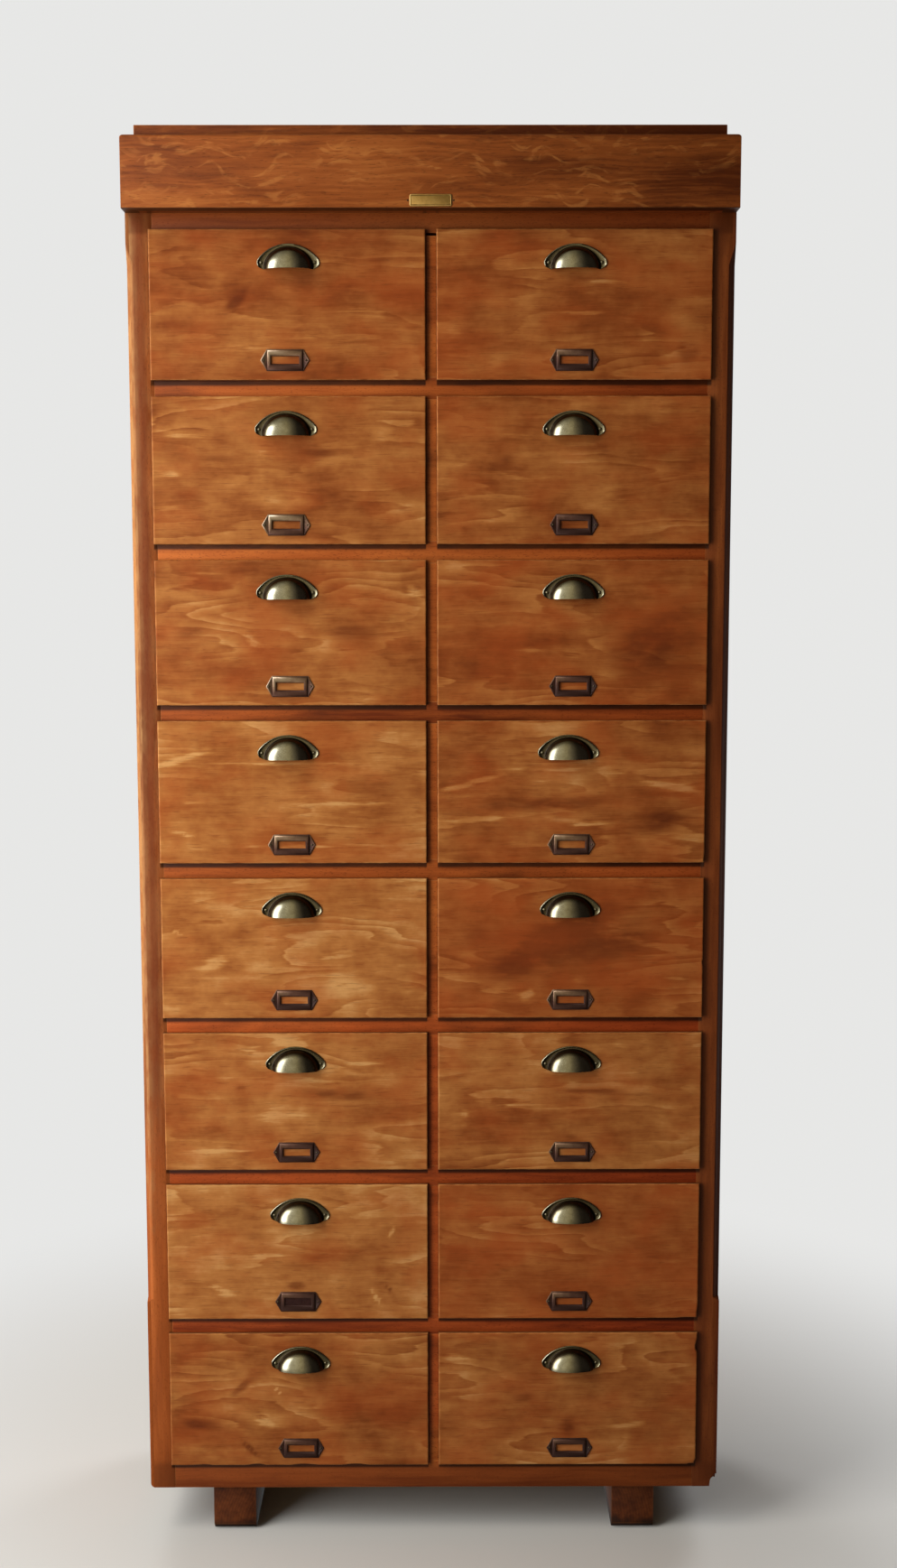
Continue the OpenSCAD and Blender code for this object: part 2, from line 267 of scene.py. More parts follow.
def ply_finish():
    """Rotary-cut plywood of the drawer faces under old amber varnish."""
    f = Finish("drawer face ply")
    board = f.attribute("board", "Vector")
    mark, worn, side = f.carried("mark", "worn", "side")
    paleness, ruddiness = f.carried("paleness", "ruddiness")
    drift = f.warped(board, 0.11, 0.012)
    broad = f.figure(drift, (6, 1, 12), 4.0, 0.6)
    mottle = f.figure(board, (26, 1, 34), 3.0, 0.6, (2, 0, 6))
    ripple = f.figure(drift, (12, 1, 80), 3.0, 0.6)
    streak = f.figure(drift, (6, 1, 150), 3.0, 0.6)
    fine = f.figure(board, (34, 1, 640), 2.0, 0.6)
    # The edges of the growth rings, which the peeling knife met at a slant
    rise = f.figure(drift, (2.6, 1, 15), 2.0, 0.4, (4, 0, 2))
    layer = (rise * 11 + ripple * 0.8).fraction()
    flame = f.band(layer, 0.0, 0.11) * (1 - layer)
    where = f.band(f.figure(board, (5, 1, 11), 2.0, shift=(7, 0, 3)), 0.42, 0.62)
    pale = f.band(mark + ripple.swing(1.6) + streak.swing(0.8), 0.20, 0.84)
    deep = f.band((0 - mark) * (1 + mottle.swing(3.0) + ripple.swing(2.4)), 0.06, 1.15)
    tone = (0.45 + paleness + broad.swing(1.15) + mottle.swing(0.62) + flame * where * 0.38
            + ripple.swing(0.28) + streak.swing(0.34) + fine.swing(0.24) + pale * 0.40 - deep * 0.26)
    redder = f.band(f.figure(board, (9, 1, 16), 3.0, shift=(9, 0, 4)), 0.40, 0.68)
    dashes = f.band(f.figure(board, (30, 1, 330), 1.0, shift=(1, 0, 8)), 0.60, 0.72)
    pores = f.band(f.figure(board, (80, 1, 1000), 1.0), 0.64, 0.74)
    scuff = f.figure(board, (60, 60, 60), 2.0, 0.6)
    paler = f.band(worn + scuff.swing(1.1), 0.42, 0.95)
    soiled = f.band(worn - scuff.swing(1.6), 0.55, 1.1)
    colour = f.toned(tone, (0.0, 96, 42, 13), (0.28, 134, 69, 28), (0.50, 160, 94, 44),
                     (0.72, 182, 117, 60), (1.0, 208, 152, 92))
    colour = f.stained(colour, (170, 76, 30, (redder * 0.40 + ruddiness * 0.4).clamped()),
                       (88, 38, 15, deep * 0.38), (112, 52, 20, dashes * 0.32),
                       (86, 40, 18, pores * 0.30), (206, 144, 86, paler * 0.45),
                       (70, 34, 16, soiled * 0.45))
    plies = f.toned((f.part(board, 1) * (1 / FACE_THICK)).clamped(), (0.0, 150, 90, 48),
                    (0.2, 92, 50, 26), (0.4, 150, 96, 54), (0.6, 86, 46, 24), (0.8, 120, 72, 40))
    colour = f.mixed(colour, f.stained(plies, (60, 30, 16, scuff * 0.6)), side)
    rough = 0.44 + broad.swing(0.10) + fine.swing(0.16) + worn * 0.12
    height = fine * 0.5 + streak * 0.6 - pores * 0.6 + scuff * 0.3
    return f.varnished(colour, rough, height, 0.35 * MM)


def shadow_and_dirt_beside_faces(f):
    """Painted shadow, with dirt, on the front frame: under each drawer face and along its sides."""
    x, y, z = f.axes(f.place())
    left = 0 - x
    step = ((z - FACE_FOOT) * (1 / ROW_PITCH)).fraction() * ROW_PITCH
    # Painted shadow, with dirt, under each drawer face and beside it at the dividers and posts
    under = f.band(step, ROW_PITCH - 0.0095, ROW_PITCH - 0.0052)
    under = under * f.within(abs(x), 0.0070, 0.0090, 0.4060, 0.4085)
    under = under * (1 - f.band(z, CORNICE_FOOT - 0.02, CORNICE_FOOT - 0.015))
    shadow_and_dirt_at_divider = (f.within(left, 0.0045, 0.0072, 0.010, 0.012) * 0.8
                  + f.within(x, 0.0064, 0.0080, 0.010, 0.012) * 0.6)
    shadow_and_dirt_at_posts = (f.within(left, 0.4, 0.4005, 0.4065, 0.4085) * 0.7
                + f.within(x, 0.4, 0.4005, 0.4065, 0.4100) * 0.4)
    level = (1 - f.band(step, 0.2125, 0.2140)) * f.band(z, FACE_FOOT - 0.001, FACE_FOOT)
    front = 1 - f.band(y, -0.1375, -0.136)
    return (under + (shadow_and_dirt_at_divider + shadow_and_dirt_at_posts) * level * 0.9).clamped() * front


def straight_grain(name, *tones, along="x", grime=0.5, gloss=0.42, framed=False, painted_window_light=False):
    """Straight-grained wood in its dark, middle, light and worn tones. Its pieces carry a shade and a
    shift of their own. framed adds painted shadow, with dirt, round the drawer faces, painted shade
    under the cornice, a darker bottom rail and the reddening of the rails. With its last option it
    gets painted window light on the left front edge and painted shade on the right post."""
    dark, middle, light, bare = tones
    f = Finish(name)
    shade, worn, paleness = f.carried("shade", "worn", "paleness")
    turn = {"x": (0, 0, 0), "y": (0, 0, math.pi / 2), "z": (0, math.pi / 2, 0)}[along]
    shift = f.times(f.xyz(shade, shade, shade), 7.3)
    board = f.stretch(f.moved(f.place(), shift), (1, 1, 1), turn)
    drift = f.warped(board, 0.12, 0.012)
    broad = f.figure(drift, (2.6, 26, 26), 3.0, 0.55)
    grain = f.figure(drift, (7, 190, 190), 3.0, 0.6)
    fine = f.figure(drift, (26, 900, 900), 1.0)
    flecks = f.band(f.figure(board, (240, 900, 900), 0.0), 0.66, 0.74)
    scuff = f.figure(board, (22, 70, 70), 3.0, 0.65)
    paler = f.band(worn * 0.75 + scuff.swing(1.3), 0.42, 0.92)
    soil = f.band(f.figure(board, (6, 20, 20), 4.0, 0.65, (5, 2, 1)), 0.50, 0.74)
    tone = 0.5 + broad.swing(1.2) + grain.swing(0.55) + fine.swing(0.2) + shade * 0.10 + paleness
    colour = f.toned(tone, (0.08, *dark), (0.50, *middle), (0.92, *light))
    colour = f.stained(colour, (*dark, flecks * 0.5), (*bare, paler * 0.75), (52, 22, 8, soil * grime))
    x, y, z = f.axes(f.place())
    # Painted window light and shade: the left front edge paler high up, the left post more orange low
    # down, the right post darker, and a darker stripe beside the pale edge
    if painted_window_light:
        wavy = x + broad.swing(0.006)
        front = 1 - f.band(y, -0.125, -0.105)
        high = f.band(z + scuff.swing(0.4), 0.40, 0.80)
        left_post = 1 - f.band(x, -0.41, -0.40)
        right_post_shade = f.band(x, 0.40, 0.41)
        patchy = f.band(scuff + broad.swing(0.6), 0.34, 0.66)
        edge = 1 - f.band(wavy, -0.428, -0.421)
        pale = edge * (0.12 + patchy * 0.24) + left_post * patchy * 0.12
        stripe = f.within(wavy, -0.434, -0.428, -0.418, -0.410)
        colour = f.stained(colour, (208, 160, 104, pale * front * high),
                           (110, 50, 26, stripe * front * high * 0.55),
                           (196, 98, 38, left_post * front * (1 - high) * 0.25),
                           (66, 20, 12, right_post_shade * front * 0.30))
    elif framed:
        redder = (1 - f.band(z, 0.75, 1.0)) * 0.6 + f.band(x, 0.0, 0.4) * 0.5
        redder = redder.clamped() * f.band(z, 0.13, 0.20)
        colour = f.mixed(colour, (1.0, 0.66, 0.70, 1.0), redder, "MULTIPLY")
    if framed:
        # Painted shade: the top rail darker just under the cornice. The bottom rail is darker too.
        top = f.band(z, 1.970, 1.978)
        low = 1 - f.band(z + broad.swing(0.02), 0.108, 0.122)
        # The last coat is painted shadow, with dirt, round the drawer faces
        colour = f.stained(colour, (88, 38, 14, top * 0.55), (96, 44, 18, low * 0.5),
                           (34, 12, 4, shadow_and_dirt_beside_faces(f) * (0.72 + scuff * 0.3)))
    rough = gloss + grain.swing(0.16) + scuff * 0.10
    height = grain * 0.6 + fine * 0.3 + scuff * 0.5
    return f.varnished(colour, rough, height, 0.35 * MM)


def oak_finish():
    """Quarter-sawn oak of the cornice: dark pores along x and soft slanting flecks across them."""
    f = Finish("cornice oak")
    worn, paleness = f.carried("worn", "paleness")
    place = f.place()
    drift = f.warped(place, 0.10, 0.014)
    broad = f.figure(drift, (5, 14, 20), 3.0)
    grain = f.figure(drift, (9, 160, 230), 3.0, 0.6)
    # Painted shade: the cornice darker towards its right end, away from the light.
    right_end_shade = f.band(f.part(place, 0), -0.1, 0.5)
    tone = 0.5 + paleness + broad.swing(1.1) + grain.swing(0.8) - right_end_shade * 0.30
    bent = f.warped(place, 0.06, 0.060)
    fleck = f.cloud(f.stretch(bent, (30, 30, 100), (0, 0.35, 0)), 3.0, 0.5, 0.4)
    where = f.band(f.figure(place, (8, 16, 20), 2.0, shift=(2, 5, 1)), 0.36, 0.60)
    flecks = f.band(fleck, 0.52, 0.66) * where
    pores = f.band(f.figure(place, (85, 700, 900), 1.0), 0.62, 0.72)
    scuff = f.figure(place, (40, 40, 40), 3.0, 0.6)
    paler = f.band(worn * 0.8 + scuff.swing(1.2), 0.45, 0.95)
    # Painted shade on the cornice's underside and its lower arris.
    underside_shade = 1 - f.band(f.part(place, 2), CORNICE_FOOT + 0.0004, CORNICE_FOOT + 0.0016)
    colour = f.toned(tone, (0.06, 88, 38, 12), (0.48, 142, 74, 30), (0.92, 178, 106, 50))
    colour = f.stained(colour, (192, 122, 62, flecks * (0.46 + paleness)), (56, 24, 8, pores * 0.40),
                       (190, 122, 70, paler * 0.5), (46, 20, 8, underside_shade * 0.85))
    rough = 0.46 + grain.swing(0.18) + pores * 0.15
    height = grain * 0.4 - pores * 0.9 + flecks * 0.12
    return f.varnished(colour, rough, height, 0.4 * MM)


def skid_finish():
    """The skids: dark stained, end grain towards the front, nearly black along the bottom."""
    f = Finish("skid wood")
    place = f.place()
    worn = f.attribute("worn")
    centred = f.stretch(place, (1, 0.05, 1), shift=(0.02, 0, 0.05))
    sockets = {"Vector": f.warped(centred, 0.05, 0.010), "Scale": 70.0, "Distortion": 1.2,
               "Detail": 2.0}
    rings = f.node("ShaderNodeTexWave", sockets, 1, wave_type="RINGS", rings_direction="Y")
    long_grain = f.figure(place, (150, 6, 150), 3.0, 0.6)
    patch = f.figure(place, (28, 9, 28), 3.0, 0.6)
    low = 1 - f.band(f.part(place, 2) + patch.swing(0.03), 0.006, 0.026)
    bare = f.band(worn + (patch - 0.5), 0.6, 1.0)
    tone = 0.08 + rings * 0.05 + long_grain * 0.30 + patch * 0.65
    colour = f.toned(tone, (0.28, 30, 14, 8), (0.52, 72, 34, 16), (0.80, 118, 62, 30))
    colour = f.stained(colour, (24, 16, 13, low * 0.85), (122, 74, 44, bare * 0.25))
    return f.varnished(colour, 0.6 + patch * 0.2, long_grain + patch, 0.6 * MM, 0.6)


def metal_finish(name, *tones, smooth, crust=0.0):
    """Old brass. patina, 0 to 1, takes it from bright through worn and dull metal to black bronze;
    crust, 0 to 1, is how much of the metal's mirror that takes away."""
    f = Finish(name)
    place = f.place()
    patina, recess = f.carried("patina", "recess")
    cloudy = f.figure(place, (120, 120, 120), 3.0, 0.6)
    speck = f.figure(place, (900, 900, 900), 2.0, 0.6)
    # The second value darkens hollows, creases and the steep shoulder of a pull's cup: patina, with
    # painted shade.
    dark = (patina + cloudy.swing(0.35) + speck.swing(0.2) + recess * 0.7).clamped()
    colour = f.toned(dark, *((at, *tone) for at, tone in zip((0.0, 0.3, 0.65, 1.0), tones)))
    rough = smooth + dark * 0.24 + speck.swing(0.08)
    return f.done(Base_Color=colour, Metallic=1 - dark * crust if crust else 1.0, Roughness=rough,
                  Normal=f.bump(cloudy + speck * 0.2, 0.15 * MM, 0.25))


def card_finish():
    f = Finish("dark card")
    fibre = f.figure(f.place(), (700, 700, 260), 3.0, 0.7)
    patch = f.figure(f.place(), (60, 60, 60), 2.0, 0.6)
    colour = f.toned(fibre * 0.5 + patch * 0.5, (0.3, 46, 26, 24), (0.7, 84, 50, 44))
    return f.done(Base_Color=colour, Roughness=0.8, Normal=f.bump(fibre, 0.2 * MM, 0.4))


PLY = ply_finish()
POST = straight_grain("post beech", (88, 38, 14), (144, 74, 32), (188, 108, 52), (206, 152, 100),
                      along="z", grime=0.36, framed=True, painted_window_light=True)
RAIL = straight_grain("rail beech", (102, 40, 14), (168, 84, 34), (202, 112, 50), (206, 128, 66),
                      along="x", grime=0.42, framed=True)
SIDE = straight_grain("side ply", (84, 34, 12), (138, 68, 26), (184, 104, 48), (206, 150, 100),
                      along="z", grime=0.26, painted_window_light=True)
BACK = straight_grain("back ply", (112, 70, 40), (156, 108, 66), (186, 140, 94), (196, 152, 108),
                      along="z", grime=0.22, gloss=0.62)
INNER = straight_grain("inner wood", (130, 88, 52), (176, 130, 84), (208, 166, 118),
                       (206, 170, 130), along="y", grime=0.35, gloss=0.60)
BOX = straight_grain("drawer wood", (150, 104, 62), (196, 150, 100), (222, 184, 136),
                     (214, 176, 134), along="y", grime=0.20, gloss=0.55)
OAK = oak_finish()
SKID = skid_finish()
METAL = metal_finish("antique brass", (206, 198, 172), (156, 145, 116), (92, 78, 58), (44, 36, 30),
                     smooth=0.17)
PLATE = metal_finish("plate brass", (240, 204, 132), (214, 168, 92), (140, 98, 46), (60, 40, 20),
                     smooth=0.48)
BRONZE = metal_finish("holder bronze", (196, 172, 146), (150, 118, 92), (94, 62, 50), (56, 32, 26),
                      smooth=0.30, crust=0.7)
CARD = card_finish()


# Meshes

# Points closer than this are one, and edges that turn by more than this, in radians, are arrises
WELD = 1e-6
ARRIS_ANGLE = 0.35


def linked(name, data):
    made = bpy.data.objects.new(name, data)
    bpy.context.scene.collection.objects.link(made)
    return made


def solid(bm, name, material=None):
    """Turns a bmesh into an object of the scene."""
    mesh = bpy.data.meshes.new(name)
    bm.to_mesh(mesh)
    bm.free()
    if material:
        mesh.materials.append(material)
    return linked(name, mesh)


def layers(elements, *names):
    """Values of a mesh's points or faces, which its finish reads by their names."""
    return [elements.layers.float.new(name) for name in names]


def shaded(bm, crease):
    """Makes a mesh smooth, but for its edges sharper than crease."""
    for face in bm.faces:
        face.smooth = True
    for edge in bm.edges:
        edge.smooth = edge.is_manifold and edge.calc_face_angle() < crease


def skin(bm, rows, closed=True):
    """Faces between rows of vertices, which are closed rings or open lines."""
    made = []
    for one, two in zip(rows, rows[1:]):
        for i in range(len(one) if closed else len(one) - 1):
            j = (i + 1) % len(one)
            made.append(bm.faces.new((one[i], one[j], two[j], two[i])))
    return made


def placed(piece, body, slot, *nodes):
    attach(piece, body)
    if nodes:
        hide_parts(*nodes)
    return piece


def finished(bm, name, material, body, slot, *nodes, crease=0.6):
    """Turns a bmesh into a piece on its body. Edges sharper than crease stay sharp."""
    shaded(bm, crease)
    return placed(solid(bm, name, material), body, slot, *nodes)


def boards_of(bm):
    """The separate boards of a mesh, as lists of faces."""
    left = set(bm.faces)
    boards = []
    while left:
        face = min(left, key=lambda f: f.index)
        left.discard(face)
        board = [face]
        for face in board:
            for edge in face.edges:
                for other in edge.link_faces:
                    if other in left:
                        left.discard(other)
                        board.append(other)
        boards.append(board)
    return boards


def softened(node, material, slot, arris, body=CARCASS, cut=None, pale=0.0, tones=()):
    """A CAD node's own shape with its arrises rounded and worn, in place of the node. tones says how
    much paler each row's board is than the rest, from the bottom up."""
    draw = random.Random(node)
    bm = bmesh.new()
    bm.from_mesh(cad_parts[node].data)
    bmesh.ops.remove_doubles(bm, verts=bm.verts, dist=WELD)
    bmesh.ops.dissolve_limit(bm, angle_limit=0.02, verts=bm.verts, edges=bm.edges)
    if cut:
        cut(bm)
    worn, shade, paleness = layers(bm.faces, "worn", "shade", "paleness")
    sharp = [e for e in bm.edges if e.is_manifold and e.calc_face_angle() > ARRIS_ANGLE]
    rounded = bmesh.ops.bevel(bm, geom=sharp, offset=arris, segments=2, profile=0.6,
                              affect="EDGES", clamp_overlap=True)
    for face in rounded["faces"]:
        face[worn] = 1.0
    bm.faces.index_update()
    for board in boards_of(bm):
        own = draw.uniform(-1, 1)
        if tones:
            middle = sum(face.calc_center_median().z for face in board) / len(board)
            pale = tones[round((middle - FACE_FOOT) / ROW_PITCH)]
        for face in board:
            face[shade] = own
            face[paleness] = pale
    bmesh.ops.triangulate(bm, faces=[f for f in bm.faces if len(f.verts) > 4])
    return finished(bm, node + "_piece", material, body, slot, node)


# Drawer faces

FACE_ROUND = 1.6 * MM
FACE_STEP = 5.5 * MM
# How wide the rim is where the grid is fine, and where the varnish is worn
FACE_RIM = 3.2 * MM
FACE_WORN = 2.6 * MM
# The open joint behind the rim of a face: its width front to back, and how far it reaches in
FACE_JOINT = 1.3 * MM
FACE_JOINT_IN = 2.5 * MM

# What stands out on each face, in the order left 1, right 1, left 2, ...: x and height in percent of
# the face, length and width in mm, slope in degrees, and how much paler or darker in tenths
FACE_MARKS = [
    [(32, 54, 46, 15, 48, -11), (80, 43, 70, 22, 0, 5), (30, 22, 120, 14, 0, 4)],
    [(60, 65, 80, 5, 5, 7), (50, 45, 180, 5, -2, 7), (12, 44, 60, 7, 0, -6),
     (92, 20, 30, 30, 0, -8), (6, 30, 25, 18, 0, 5)],
    [(10, 74, 55, 9, -4, 9), (7, 48, 50, 9, -4, 9), (6, 25, 45, 8, 0, 8),
     (27, 58, 80, 10, -3, -8), (62, 62, 90, 11, 0, -7), (40, 60, 12, 60, 0, 3)],
    [(25, 55, 30, 26, 0, -6), (10, 56, 26, 18, 0, 6), (70, 30, 90, 20, 0, 3)],
    [(15, 52, 50, 26, 12, -8), (72, 50, 80, 26, -6, -6), (36, 44, 42, 11, -42, 9),
     (95, 80, 26, 16, -40, 8), (20, 92, 70, 7, 0, 5)],
    [(82, 44, 130, 84, 30, -9), (50, 42, 3, 56, 0, 11), (20, 85, 60, 10, 8, 5),
     (35, 40, 34, 26, 40, 4)],
    [(10, 74, 60, 9, 14, 9), (42, 70, 200, 6, 0, 8), (10, 43, 40, 6, -4, 9),
     (70, 42, 170, 5, -1, 8), (80, 54, 90, 26, 0, -6), (60, 12, 200, 7, 1, 8),
     (10, 20, 60, 8, -16, 8)],
    [(12, 56, 110, 8, 16, 11), (42, 66, 130, 6, -2, 10), (85, 55, 120, 9, -12, 11),
     (42, 42, 170, 16, 3, -11), (15, 31, 110, 8, 4, 10), (50, 29, 100, 8, -6, 9),
     (84, 30, 90, 30, 14, -11), (72, 18, 90, 6, -3, 7)],
    [(20, 40, 46, 20, 24, 10), (6, 62, 16, 5, -30, 10), (10, 16, 40, 7, -18, -6),
     (45, 55, 80, 30, 10, 2), (90, 35, 14, 50, 0, 3)],
    [(52, 56, 170, 90, 10, -13), (28, 38, 90, 34, 30, -8), (34, 18, 28, 15, 44, 9),
     (52, 28, 18, 8, 0, 8), (14, 60, 40, 34, 0, -5), (95, 60, 20, 60, 0, 3)],
    [(64, 55, 110, 15, -2, -9), (29, 60, 17, 12, 0, -8), (76, 78, 70, 8, 3, 8),
     (20, 67, 60, 6, 0, 8), (46, 40, 60, 5, 2, 6), (22, 14, 120, 6, 0, 7)],
    [(50, 23, 22, 9, 0, -12), (55, 8, 40, 6, 0, -10), (62, 57, 140, 6, -3, -13),
     (45, 46, 190, 5, -1, 10), (10, 38, 12, 22, 0, 7)],
    [(50, 25, 24, 11, 0, -13), (86, 64, 26, 8, 62, 10), (40, 47, 90, 6, 4, 9),
     (60, 39, 150, 3, -1, -9), (20, 22, 42, 10, -20, 9), (80, 16, 26, 6, -58, 9),
     (85, 22, 24, 5, -58, -8), (34, 62, 40, 18, 0, -6)],
    [(92, 40, 40, 24, 0, 4), (30, 70, 80, 12, 4, -3)],
    [(28, 60, 46, 10, 42, -10), (10, 32, 46, 16, -8, -11), (30, 14, 40, 7, -48, -12),
     (42, 56, 28, 3, -34, 12), (36, 34, 34, 16, -20, 9), (62, 67, 100, 5, 2, 5)],
    [(6, 82, 34, 14, 0, 9), (34, 52, 46, 22, 0, -7), (53, 42, 1.6, 18, 6, 13),
     (74, 30, 60, 12, 6, 7), (70, 74, 80, 7, 2, 6), (50, 28, 20, 26, 0, -13)],
]
# Bitten corners and edges: face, x and height as shares of the face, reach in mm, depth in mm
FACE_BITES = [
    (14, 0.12, 0.0, 18, 1.6), (14, 0.33, 0.0, 14, 2.4), (14, 0.52, 0.0, 22, 1.5),
    (14, 0.72, 0.0, 20, 2.0), (15, 1.0, 0.90, 10, 3.6), (15, 0.99, 0.0, 9, 3.4),
    (13, 0.97, 0.0, 22, 2.6), (9, 1.0, 0.40, 4, 1.6), (7, 1.0, 0.02, 7, 1.2), (4, 0.02, 0.0, 9, 1.0)
]
# How much paler and how much ruddier than the rest the board of each face is, in the same order
FACE_TONES = [
    (-0.10, 0.1), (-0.10, 0.2), (0.00, -0.3), (-0.05, 0.0), (0.00, 0.0), (-0.10, 0.3),
    (0.10, -0.1), (-0.05, 0.1), (0.15, -0.2), (-0.10, 0.6), (0.10, 0.0), (0.06, 0.0),
    (0.18, -0.2), (-0.04, 0.6), (-0.04, 0.0), (0.00, 0.1)
]


def edge_stops(length):
    """Where the grid lines of a face lie: close together in its rounded edge, even between."""
    rim = [FACE_ROUND * share for share in (0, 0.12, 0.4, 1.0)] + [FACE_RIM]
    steps = max(2, round((length - 2 * FACE_RIM) / FACE_STEP))
    pitch = (length - 2 * FACE_RIM) / steps
    inner = [FACE_RIM + pitch * i for i in range(1, steps)]
    return rim + inner + [length - d for d in reversed(rim)]


def mark_at(marks, x, z, width, height):
    """How much paler or darker a face is at a place, from its marks, with ragged outlines."""
    total = 0.0
    for percent_x, percent_z, length, across, slope, tenths in marks:
        dx = x - percent_x / 100 * width
        dz = z - percent_z / 100 * height
        angle = math.radians(slope)
        u = (dx * math.cos(angle) + dz * math.sin(angle)) / (length * MM * 0.5)
        v = (dz * math.cos(angle) - dx * math.sin(angle)) / (across * MM * 0.5)
        wander = noise.noise(Vector((x * 18, z * 30, percent_x / 100 * 50)))
        reach = math.sqrt(u * u + v * v) + wander * 0.5
        total += tenths / 10 * math.exp(-reach * reach * 0.8)
    return max(-1.6, min(1.6, total))


def bite_at(index, x, z, width, height):
    """How far the outline of a face is eaten away at a point on it, in metres."""
    deep = 0.0
    for face, share_x, share_z, reach, depth in FACE_BITES:
        if face != index:
            continue
        away = math.hypot(x - share_x * width, z - share_z * height) / (reach * MM)
        deep = max(deep, depth * MM * max(0.0, 1 - away * away))
    return deep


def ply_face(row, side, index):
    """A drawer's plywood face: its own figure, rounded worn edges, bitten where the real one is."""
    node = f"drawer_{row}_{side}_front"
    low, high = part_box(node)
    width = high.x - low.x
    height = high.z - low.z
    bm = bmesh.new()
    board = bm.verts.layers.float_vector.new("board")
    mark, worn = layers(bm.verts, "mark", "worn")
    side_layer, paleness, ruddiness = layers(bm.faces, "side", "paleness", "ruddiness")
    draw = random.Random(row * 2 + len(side))
    shift = Vector((draw.uniform(1, 9), 0, draw.uniform(1, 9)))

    rows = []
    for z in edge_stops(height):
        line = []
        for x in edge_stops(width):
            edge = min(x, width - x, z, height - z)
            short = FACE_ROUND - min(edge, FACE_ROUND)
            drop = FACE_ROUND - math.sqrt(max(0.0, FACE_ROUND**2 - short**2))
            if edge > FACE_ROUND:
                drop += 0.12 * MM * (1 + noise.noise(Vector((x * 12, index * 3.0, z * 12))))
            wave = 0.25 * MM * noise.noise(Vector((x * 30, index * 7.0, z * 30)))
            eaten = bite_at(index, x, z, width, height) + max(0.0, wave)
            inward = Vector((width / 2 - x, 0, height / 2 - z)).normalized()
            made = bm.verts.new(Vector((low.x + x, low.y + drop, low.z + z)) + inward * eaten)
            made[board] = Vector((x, drop, z)) + shift
            made[mark] = mark_at(FACE_MARKS[index], x, z, width, height)
            made[worn] = max(0.0, 1 - edge / FACE_WORN)
            line.append(made)
        rows.append(line)
    skin(bm, rows, closed=False)
    rim = rows[0] + [line[-1] for line in rows[1:-1]] + rows[-1][::-1]
    rim += [line[0] for line in rows[-2:0:-1]]
    centre = Vector(((low.x + high.x) / 2, 0, (low.z + high.z) / 2))
    shrink = 1 - 2 * FACE_JOINT_IN / height
    rings = [rim]
    for depth, scale in ((FACE_JOINT, 1.0), (FACE_JOINT, shrink), (0.0, shrink)):
        deeper = []
        for made in rim:
            place = centre + (made.co - centre) * scale
            place.y = high.y - depth
            deep = bm.verts.new(place)
            deep[board] = made[board] + Vector((0, place.y - made.co.y, 0))
            deep[mark] = made[mark]
            deep[worn] = 0.6
            deeper.append(deep)
        rings.append(deeper)
    for wall in skin(bm, rings[::-1]):
        wall[side_layer] = 1.0
    cover = bm.faces.new(rings[-1])
    cover[side_layer] = 0.35
    for face in bm.faces:
        face[paleness], face[ruddiness] = FACE_TONES[index]
    bmesh.ops.triangulate(bm, faces=[cover])
    bmesh.ops.recalc_face_normals(bm, faces=bm.faces)
    return finished(bm, f"face_{row}_{side}", PLY, f"drawer_{row}_{side}", "front_ply", node)


# Fittings

PULL_OUT = 17 * MM
PULL_HALF = 35 * MM
PULL_RISE = 31.5 * MM
PULL_EAR = 9.5 * MM
PULL_EAR_X = 36 * MM
PULL_TOP = 36.3 * MM
PULL_SCREW = (38.4 * MM, 9.5 * MM)
SHEET = 1.1 * MM
PULL_SPOKES = 44
# Label holder: half its width and height, the length of its points, half its window, half the
# width of its raised frame, and where its pins and its middle are
HOLDER_HALF = (35.5 * MM, 15.5 * MM)
HOLDER_POINT = 9 * MM
HOLDER_WINDOW = (20.5 * MM, 5.5 * MM)
HOLDER_FRAME = 26 * MM
HOLDER_PIN_X = 30.8 * MM
HOLDER_RISE = 28 * MM
# How far each pull and each label holder sits off its drawer's middle, in mm, from the top row down
PULL_SHIFTS = [(2, 1), (-4, 0), (-5, 1), (-6, -5), (-3, -1), (0, 2), (4, 4), (3, 5)]
HOLDER_SHIFTS = [(-4, 0), (-5, 1), (-2, 1), (-2, 0), (-1, 0), (0, 4), (0, 1), (2, 3)]
# How worn or dark each label holder is, left and right from the top row down
HOLDER_PATINA = [(0.45, 0.75), (0.35, 0.95), (0.40, 0.9), (0.55, 0.55), (0.85, 0.6), (0.95, 0.7),
                 (0.9, 0.8), (0.9, 0.95)]
# The plate on the cornice: half its width and height in mm, and where its middle and its pins are
PLATE_HALF = (30, 8.5)
PLATE_RISE = 10.5 * MM
PLATE_PIN_X = 32.5 * MM


def face_foot(row, side, shifts):
    """The middle of a drawer face's lower edge, moved sideways as its fitting is."""
    low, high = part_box(f"drawer_{row}_{side}_front")
    shift = shifts[row - 1][SIDES.index(side)] * MM
    return Vector(((low.x + high.x) / 2 + shift, low.y, low.z))


def pull_place(row, side):
    """The middle of the mouth of a pull, on the drawer face."""
    place = face_foot(row, side, PULL_SHIFTS)
    place.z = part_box(f"drawer_{row}_{side}_fittings")[1].z - PULL_TOP
    return place


def holder_place(row, side):
    """The middle of a label holder, on the drawer face."""
    place = face_foot(row, side, HOLDER_SHIFTS)
    place.z += HOLDER_RISE
    return place


def metal_mesh():
    """An empty mesh with the two values that a metal finish reads."""
    bm = bmesh.new()
    return bm, *layers(bm.verts, "recess", "patina")


